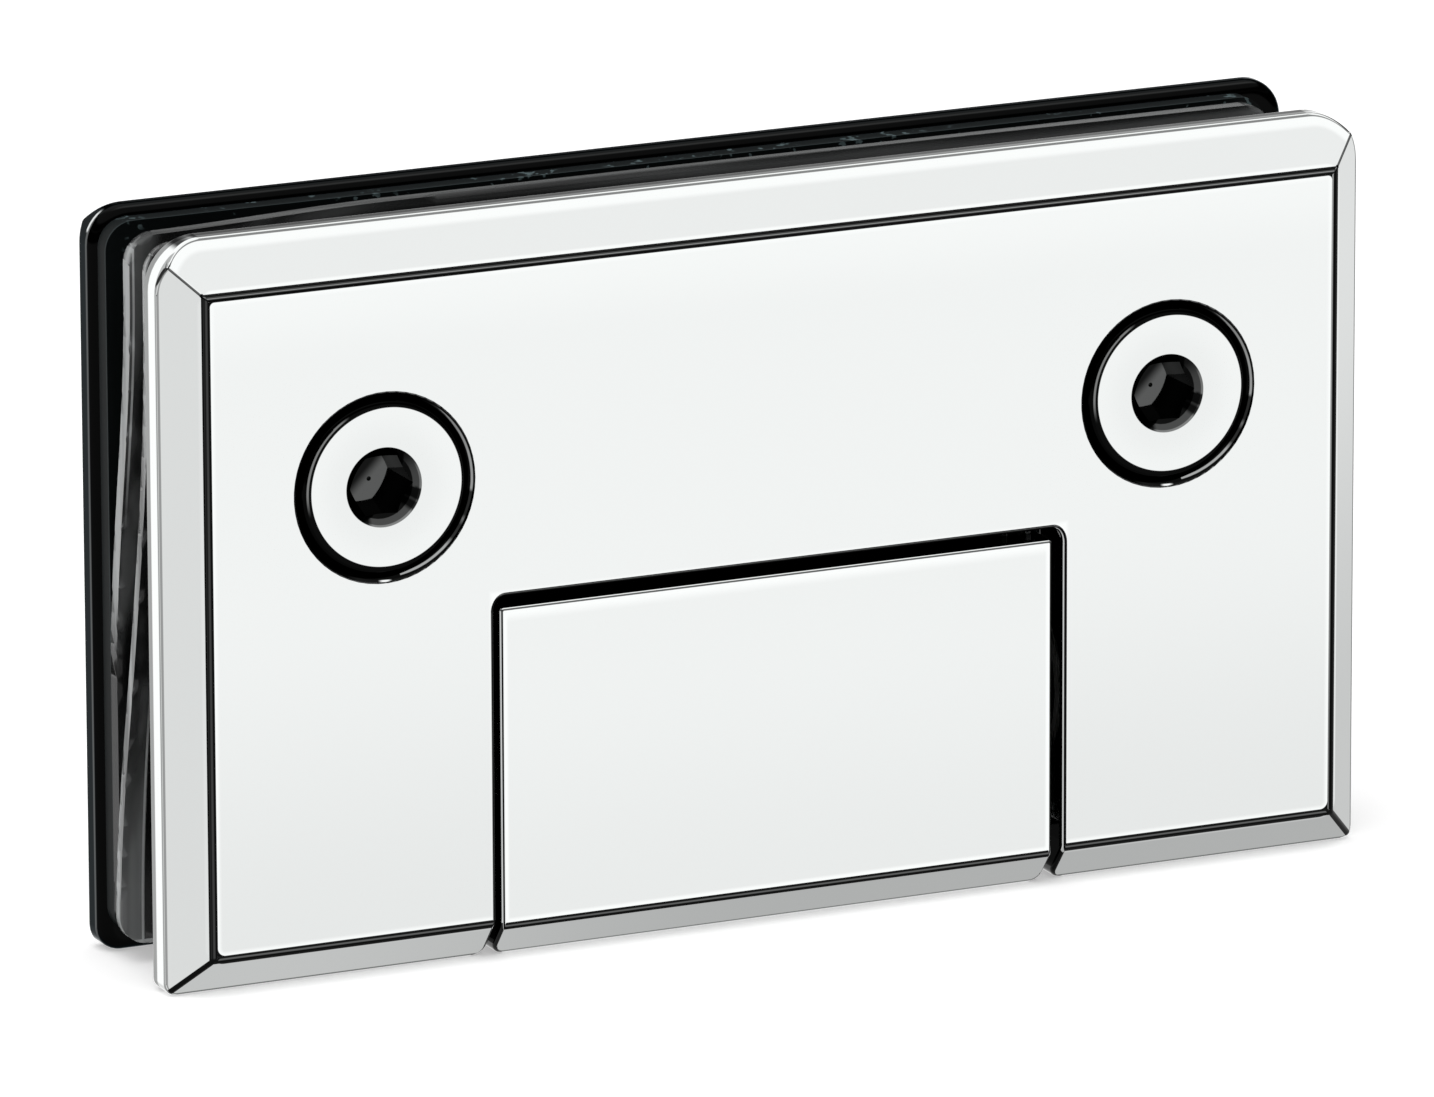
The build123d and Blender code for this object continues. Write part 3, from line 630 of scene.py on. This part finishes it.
def clear_vinyl(name, front):
    """Clear vinyl gone milky, with streaks that run along the legs and along the top.

    The front sheet pales towards its foot and has a painted highlight line inside its left edge,
    with painted shade beyond it, and a painted highlight at its foot. The rear one fades to
    painted shade towards its foot. On both, the left sides and the tops get painted light tones
    of their own.
    """
    material, tree, shader = principled(name, (0.6, 0.62, 0.62), 0.0, 0.16,
                                        Transmission_Weight=0.45, IOR=1.46,
                                        Specular_IOR_Level=0.5 if front else 0.08)
    where = tree.object_coordinates()
    x, _, z = tree.split(where)
    nx, _, nz = tree.split(tree.object_normal())
    upright, level = (streaks(tree, where, stretch) for stretch in (ALONG_LEGS, ALONG_TOP))
    in_top = tree.all(tree.map(z, *TOP_STRIP_Z), tree.map(x, *TOP_STRIP_X))
    face = tree.map(tree.blend(in_top, upright, level), 0.46, 0.70, 0.025, 0.22)
    inwards = tree.math("SUBTRACT", x, SHEET_LEFT)
    if front:
        face = tree.math("ADD", face, tree.map(z, *FRONT_FACE_Z))
        # Painted shade beyond the painted highlight line inside the left edge, and a painted
        # highlight at the foot.
        face = tree.blend(tree.over(inwards, FRONT_DARK), face, 0.015)
        line = tree.all(tree.between(inwards, *FRONT_LINE), tree.map(z, *FRONT_LINE_Z))
        line = tree.math("MAXIMUM", line, tree.under(z, SHEET_FOOT + FRONT_FOOT_EDGE))
        side = tree.map(upright, 0.36, 0.62, 0.25, 0.85)
    else:
        # Painted shade towards the foot.
        face = tree.all(face, tree.map(z, *REAR_FACE_Z))
        line = tree.all(tree.between(inwards, *REAR_LINE), tree.map(z, *REAR_LINE_Z))
        side = tree.all(tree.map(upright, 0.36, 0.62, 0.30, 0.85), tree.map(z, *REAR_SIDE_Z))
    tone = tree.blend(line, face, 0.9)
    # The left sides and the tops get painted light tones of their own.
    tone = tree.blend(tree.map(nx, -0.5, -0.9), tone, side)
    top = tree.map(level, 0.36, 0.64, 0.05, 0.20)
    tone = tree.blend(tree.map(nz, 0.5, 0.9), tone, top)
    paint(tree, shader, tone, VINYL_TINT)
    return material


nylon = principled("white_nylon", (0.82, 0.82, 0.79), 0.0, 0.45)[0]
steel = principled("plain_steel", (0.55, 0.55, 0.56), 1.0, 0.3)[0]
dark_steel = principled("spring_steel", (0.35, 0.35, 0.36), 1.0, 0.35)[0]
screw_chrome = screw_metal()

FINISHES = {"front_plate": polished_chrome("polished_chrome", "front"),
            "back_plate": polished_chrome("back_chrome", "back"),
            "pivot_block": polished_chrome("block_chrome", "block"),
            "back_gasket": black_rubber(),
            "rear_clear_gasket": clear_vinyl("rear_clear_vinyl", False),
            "front_clear_gasket": clear_vinyl("clear_vinyl", True)}
for hand in ("left", "right"):
    FINISHES["clamp_screw_" + hand] = screw_chrome
    FINISHES["screw_sleeve_" + hand] = nylon
    FINISHES["flanged_bush_" + hand] = nylon
    FINISHES["follower_spring_" + hand] = dark_steel
for name, obj in nodes.items():
    wear(obj, FINISHES.get(name, steel))


# --- clear gaskets, bent by their packing -----------------------------------
CUT_HEIGHTS = np.arange(2.4, 52, 1.1) * MM
CUT_PLACES = np.arange(-44, -20, 1.2) * MM


def smoothstep(value):
    """3 t squared minus 2 t cubed, with t held between 0 and 1."""
    held = np.clip(value, 0, 1)
    return held * held * (3 - 2 * held)


def bent_gasket(name, node, move):
    """A gasket's own solid, cut into short strips both ways and bent by move(x, z).

    move takes millimetres and gives how far each point goes along x and along y.
    """
    mesh = nodes[node].data.copy()
    mesh.name = name
    work = bmesh.new()
    work.from_mesh(mesh)
    bmesh.ops.remove_doubles(work, verts=work.verts, dist=1e-6)
    cuts = [((0, 0, height), (0, 0, 1)) for height in CUT_HEIGHTS]
    cuts += [((across, 0, 0), (1, 0, 0)) for across in CUT_PLACES]
    for point, normal in cuts:
        bmesh.ops.bisect_plane(work, geom=work.verts[:] + work.edges[:] + work.faces[:],
                               plane_co=point, plane_no=normal, dist=1e-7)
    work.to_mesh(mesh)
    work.free()
    place = np.empty(len(mesh.vertices) * 3)
    mesh.vertices.foreach_get("co", place)
    place = place.reshape(-1, 3)
    along_x, along_y = move(place[:, 0] / MM, place[:, 2] / MM)
    place[:, 0] += along_x * MM
    place[:, 1] += along_y * MM
    mesh.vertices.foreach_set("co", place.ravel())
    mesh.update()
    mesh.shade_smooth()
    mesh.set_sharp_from_angle(angle=math.radians(40))
    obj = bpy.data.objects.new(name, mesh)
    bpy.context.scene.collection.objects.link(obj)
    wear(obj, FINISHES[node])
    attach(obj, "glass_clamp")
    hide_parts(node)


def rear_move(x, z):
    """Its top left end curls forward.

    The way is 1.9 mm times the smoothstep of how far x has gone from 24 to 44 mm left,
    times the smoothstep of how far z has gone from 20 to 48 mm.
    """
    left = smoothstep((-x - 24) / 20)
    return 0 * x, -1.9 * left * smoothstep((z - 20) / 28)


def front_move(x, z):
    """Its left leg lies further out at the foot.

    The way is 0.35 mm times the smoothstep of how far x has gone from 30 to 42 mm left,
    times one less the smoothstep of z over 24 mm.
    """
    left = smoothstep((-x - 30) / 12)
    return -0.35 * left * (1 - smoothstep(z / 24)), 0 * z


bent_gasket("rear_vinyl", "rear_clear_gasket", rear_move)
bent_gasket("front_vinyl", "front_clear_gasket", front_move)


# --- studio -----------------------------------------------------------------
FLOOR_REACH, FLOOR_GREY, FLOOR_GLOW = 6.0, 0.85, 0.42

# Grey of the room by height: straight down is 0, the horizon 0.5 and straight up 1.
ROOM_STOPS = [(0.0, 0.54), (0.08, 0.56), (0.22, 0.72), (0.45, 0.78), (0.475, 0.06),
              (0.64, 0.05), (0.67, 0.36), (0.71, 0.06), (0.80, 0.08), (0.85, 0.98), (1.0, 1.0)]

# Bright panels of the room: azimuth, elevation, inner and outer radius in degrees.
PANELS = ((24.9, -15, 9, 20), (140, -18, 20, 40), (-163, 3, 24, 30))

LAMP_PLACE, LAMP_SIZE, LAMP_WATTS = (-0.3, -0.35, 1.2), 1.2, 7.0
CAMERA_AZIMUTH, CAMERA_ELEVATION, CAMERA_ROLL = -24.901, 14.962, -0.197
CAMERA_DISTANCE, CAMERA_LENS = 0.9924, 366.72
CAMERA_TARGET = (-4.833 * MM, -FACE_Y, 27.181 * MM)


def aim(azimuth, elevation):
    """Unit vector towards azimuth and elevation in degrees; azimuth 0 is the front."""
    a, e = math.radians(azimuth), math.radians(elevation)
    return Vector((math.sin(a) * math.cos(e), -math.cos(a) * math.cos(e), math.sin(e)))


def make_floor():
    """Plain white floor; its shadow stays, its plain part reads as white."""
    mesh = bpy.data.meshes.new("floor")
    corners = [(side * FLOOR_REACH, end * FLOOR_REACH, 0)
               for side, end in ((-1, -1), (1, -1), (1, 1), (-1, 1))]
    mesh.from_pydata(corners, [], [(0, 1, 2, 3)])
    obj = bpy.data.objects.new("floor", mesh)
    bpy.context.scene.collection.objects.link(obj)
    material = bpy.data.materials.new("floor_white")
    material.use_nodes = True
    tree = Tree(material.node_tree)
    diffuse = tree.node("ShaderNodeBsdfDiffuse")
    diffuse.inputs["Color"].default_value = (FLOOR_GREY, FLOOR_GREY, FLOOR_GREY, 1)
    glow = tree.node("ShaderNodeEmission")
    seen = tree.node("ShaderNodeLightPath").outputs["Is Camera Ray"]
    tree.link(tree.math("MULTIPLY", seen, FLOOR_GLOW), glow.inputs["Strength"])
    both = tree.node("ShaderNodeAddShader")
    tree.link(diffuse.outputs[0], both.inputs[0])
    tree.link(glow.outputs[0], both.inputs[1])
    output = tree.node("ShaderNodeOutputMaterial")
    tree.link(both.outputs[0], output.inputs["Surface"])
    wear(obj, material)
    obj.visible_glossy = False


def lobe(tree, direction, azimuth, elevation, inner, outer):
    """1 within inner degrees of a direction, 0 beyond outer degrees."""
    dot = tree.node("ShaderNodeVectorMath", operation="DOT_PRODUCT")
    tree.link(direction, dot.inputs[0])
    dot.inputs[1].default_value = aim(azimuth, elevation)
    return tree.map(dot.outputs["Value"], math.cos(math.radians(outer)),
                    math.cos(math.radians(inner)))


def make_world():
    """Bright table and ceiling with a dark room between them, as the plating sees it."""
    world = bpy.data.worlds.new("studio")
    bpy.context.scene.world = world
    world.use_nodes = True
    tree = Tree(world.node_tree)
    direction = tree.node("ShaderNodeTexCoord").outputs["Generated"]
    height = tree.map(tree.split(direction)[2], -1.0, 1.0, smooth=False)
    bright = 0.0
    for panel in PANELS:
        bright = tree.math("MAXIMUM", bright, lobe(tree, direction, *panel))
    lit = tree.mix(bright, tree.steps(height, ROOM_STOPS), (1, 1, 1, 1))
    seen = tree.node("ShaderNodeLightPath").outputs["Is Camera Ray"]
    background = tree.node("ShaderNodeBackground")
    tree.link(tree.mix(seen, lit, (1, 1, 1, 1)), background.inputs["Color"])
    output = tree.node("ShaderNodeOutputWorld")
    tree.link(background.outputs[0], output.inputs["Surface"])


def make_lamp():
    """Large soft lamp overhead, slightly to the front and left."""
    light = bpy.data.lights.new("soft_top", "AREA")
    light.shape = "SQUARE"
    light.size = LAMP_SIZE
    light.energy = LAMP_WATTS
    lamp = bpy.data.objects.new("soft_top", light)
    bpy.context.scene.collection.objects.link(lamp)
    lamp.location = LAMP_PLACE
    lamp.rotation_euler = (-lamp.location).to_track_quat("-Z", "Y").to_euler()
    lamp.visible_glossy = False


def make_camera():
    """Long lens in front, to the left and a little above."""
    roll = math.radians(CAMERA_ROLL)
    back = aim(CAMERA_AZIMUTH, CAMERA_ELEVATION)
    right = (-back).cross(Vector((0, 0, 1))).normalized()
    up = right.cross(-back)
    turned_right = right * math.cos(roll) + up * math.sin(roll)
    turned_up = up * math.cos(roll) - right * math.sin(roll)
    data = bpy.data.cameras.new("camera")
    data.sensor_fit = "HORIZONTAL"
    data.sensor_width = 36.0
    data.lens = CAMERA_LENS
    data.clip_start = 0.05
    camera = bpy.data.objects.new("camera", data)
    bpy.context.scene.collection.objects.link(camera)
    turn = Matrix((turned_right, turned_up, back)).transposed().to_4x4()
    place = Vector(CAMERA_TARGET) + back * CAMERA_DISTANCE
    camera.matrix_world = Matrix.Translation(place) @ turn
    bpy.context.scene.camera = camera


make_floor()
make_world()
make_lamp()
make_camera()
bpy.context.scene.view_settings.view_transform = "Standard"
